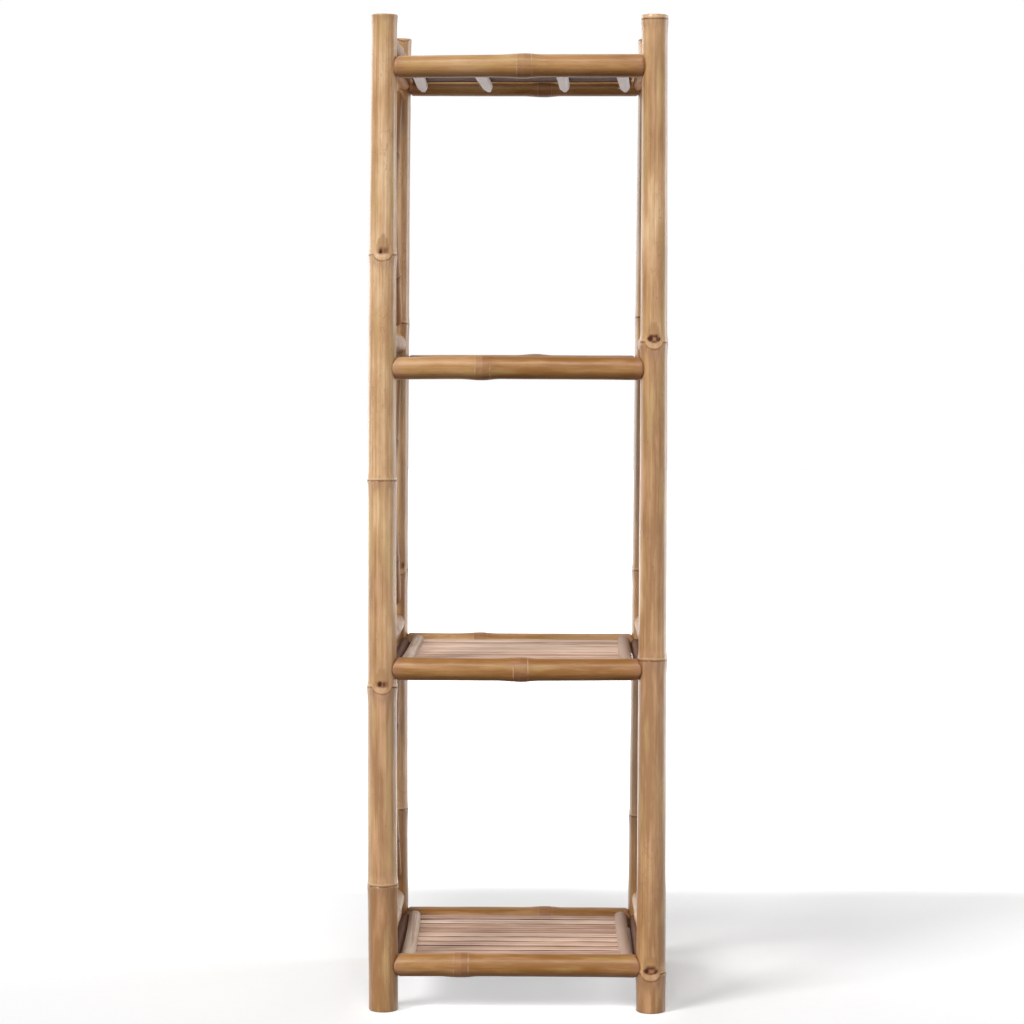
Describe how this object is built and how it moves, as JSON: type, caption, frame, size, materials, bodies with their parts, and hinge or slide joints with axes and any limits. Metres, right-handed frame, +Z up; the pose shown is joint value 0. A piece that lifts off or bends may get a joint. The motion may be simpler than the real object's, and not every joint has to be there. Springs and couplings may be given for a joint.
{
  "type": "open bookcase",
  "caption": "Open standing bookcase of round bamboo poles, with slatted shelves between X-braced side frames.",
  "frame": {"origin": "on the floor, midway between the four posts", "axes": "+X to the right, +Y to the back, +Z up; the open front faces -Y"},
  "size_m": [0.3647, 0.3335, 1.2],
  "materials": {
    "post_bamboo": "clear-coated tan bamboo culm, satin to glossy, with pinkish streaks and dark flecks",
    "rail_bamboo": "clear-coated orange-brown bamboo culm, glossy",
    "brace_bamboo": "clear-coated brown bamboo cane, satin",
    "slat_bamboo": "split bamboo, matte, pinkish tan",
    "batten_bamboo": "split bamboo, matte, pale grey-pink",
    "dowel_wood": "bare pale wood",
    "fastener_steel": "plain zinc-plated steel"
  },
  "bodies": {
    "root": {"post_front_left": "post_bamboo", "post_front_right": "post_bamboo", "post_rear_left": "post_bamboo", "post_rear_right": "post_bamboo", "side_rail_left_1": "rail_bamboo", "side_rail_left_2": "rail_bamboo", "side_rail_left_3": "rail_bamboo", "side_rail_left_4": "rail_bamboo", "side_rail_right_1": "rail_bamboo", "side_rail_right_2": "rail_bamboo", "side_rail_right_3": "rail_bamboo", "side_rail_right_4": "rail_bamboo", "brace_left_1_long": "brace_bamboo", "brace_left_1_lower": "brace_bamboo", "brace_left_1_upper": "brace_bamboo", "brace_left_2_long": "brace_bamboo", "brace_left_2_lower": "brace_bamboo", "brace_left_2_upper": "brace_bamboo", "brace_left_3_long": "brace_bamboo", "brace_left_3_lower": "brace_bamboo", "brace_left_3_upper": "brace_bamboo", "brace_right_1_long": "brace_bamboo", "brace_right_1_lower": "brace_bamboo", "brace_right_1_upper": "brace_bamboo", "brace_right_2_long": "brace_bamboo", "brace_right_2_lower": "brace_bamboo", "brace_right_2_upper": "brace_bamboo", "brace_right_3_long": "brace_bamboo", "brace_right_3_lower": "brace_bamboo", "brace_right_3_upper": "brace_bamboo", "shelf_1_front_rail": "rail_bamboo", "shelf_2_front_rail": "rail_bamboo", "shelf_3_front_rail": "rail_bamboo", "shelf_4_front_rail": "rail_bamboo", "shelf_1_rear_rail": "rail_bamboo", "shelf_2_rear_rail": "rail_bamboo", "shelf_3_rear_rail": "rail_bamboo", "shelf_4_rear_rail": "rail_bamboo", "shelf_1_side_rods": "rail_bamboo", "shelf_2_side_rods": "rail_bamboo", "shelf_3_side_rods": "rail_bamboo", "shelf_4_side_rods": "rail_bamboo", "shelf_1_slats": "slat_bamboo", "shelf_2_slats": "slat_bamboo", "shelf_3_slats": "slat_bamboo", "shelf_4_slats": "slat_bamboo", "shelf_1_top_battens": "batten_bamboo", "shelf_2_top_battens": "batten_bamboo", "shelf_3_top_battens": "batten_bamboo", "shelf_4_top_battens": "batten_bamboo", "shelf_1_under_battens": "batten_bamboo", "shelf_2_under_battens": "batten_bamboo", "shelf_3_under_battens": "batten_bamboo", "shelf_4_under_battens": "batten_bamboo", "rail_plugs": "dowel_wood", "side_rail_dowels": "dowel_wood", "under_batten_pins": "dowel_wood", "rail_screws": "fastener_steel", "frame_nails": "fastener_steel", "slat_brads": "fastener_steel"}
  },
  "joints": []
}
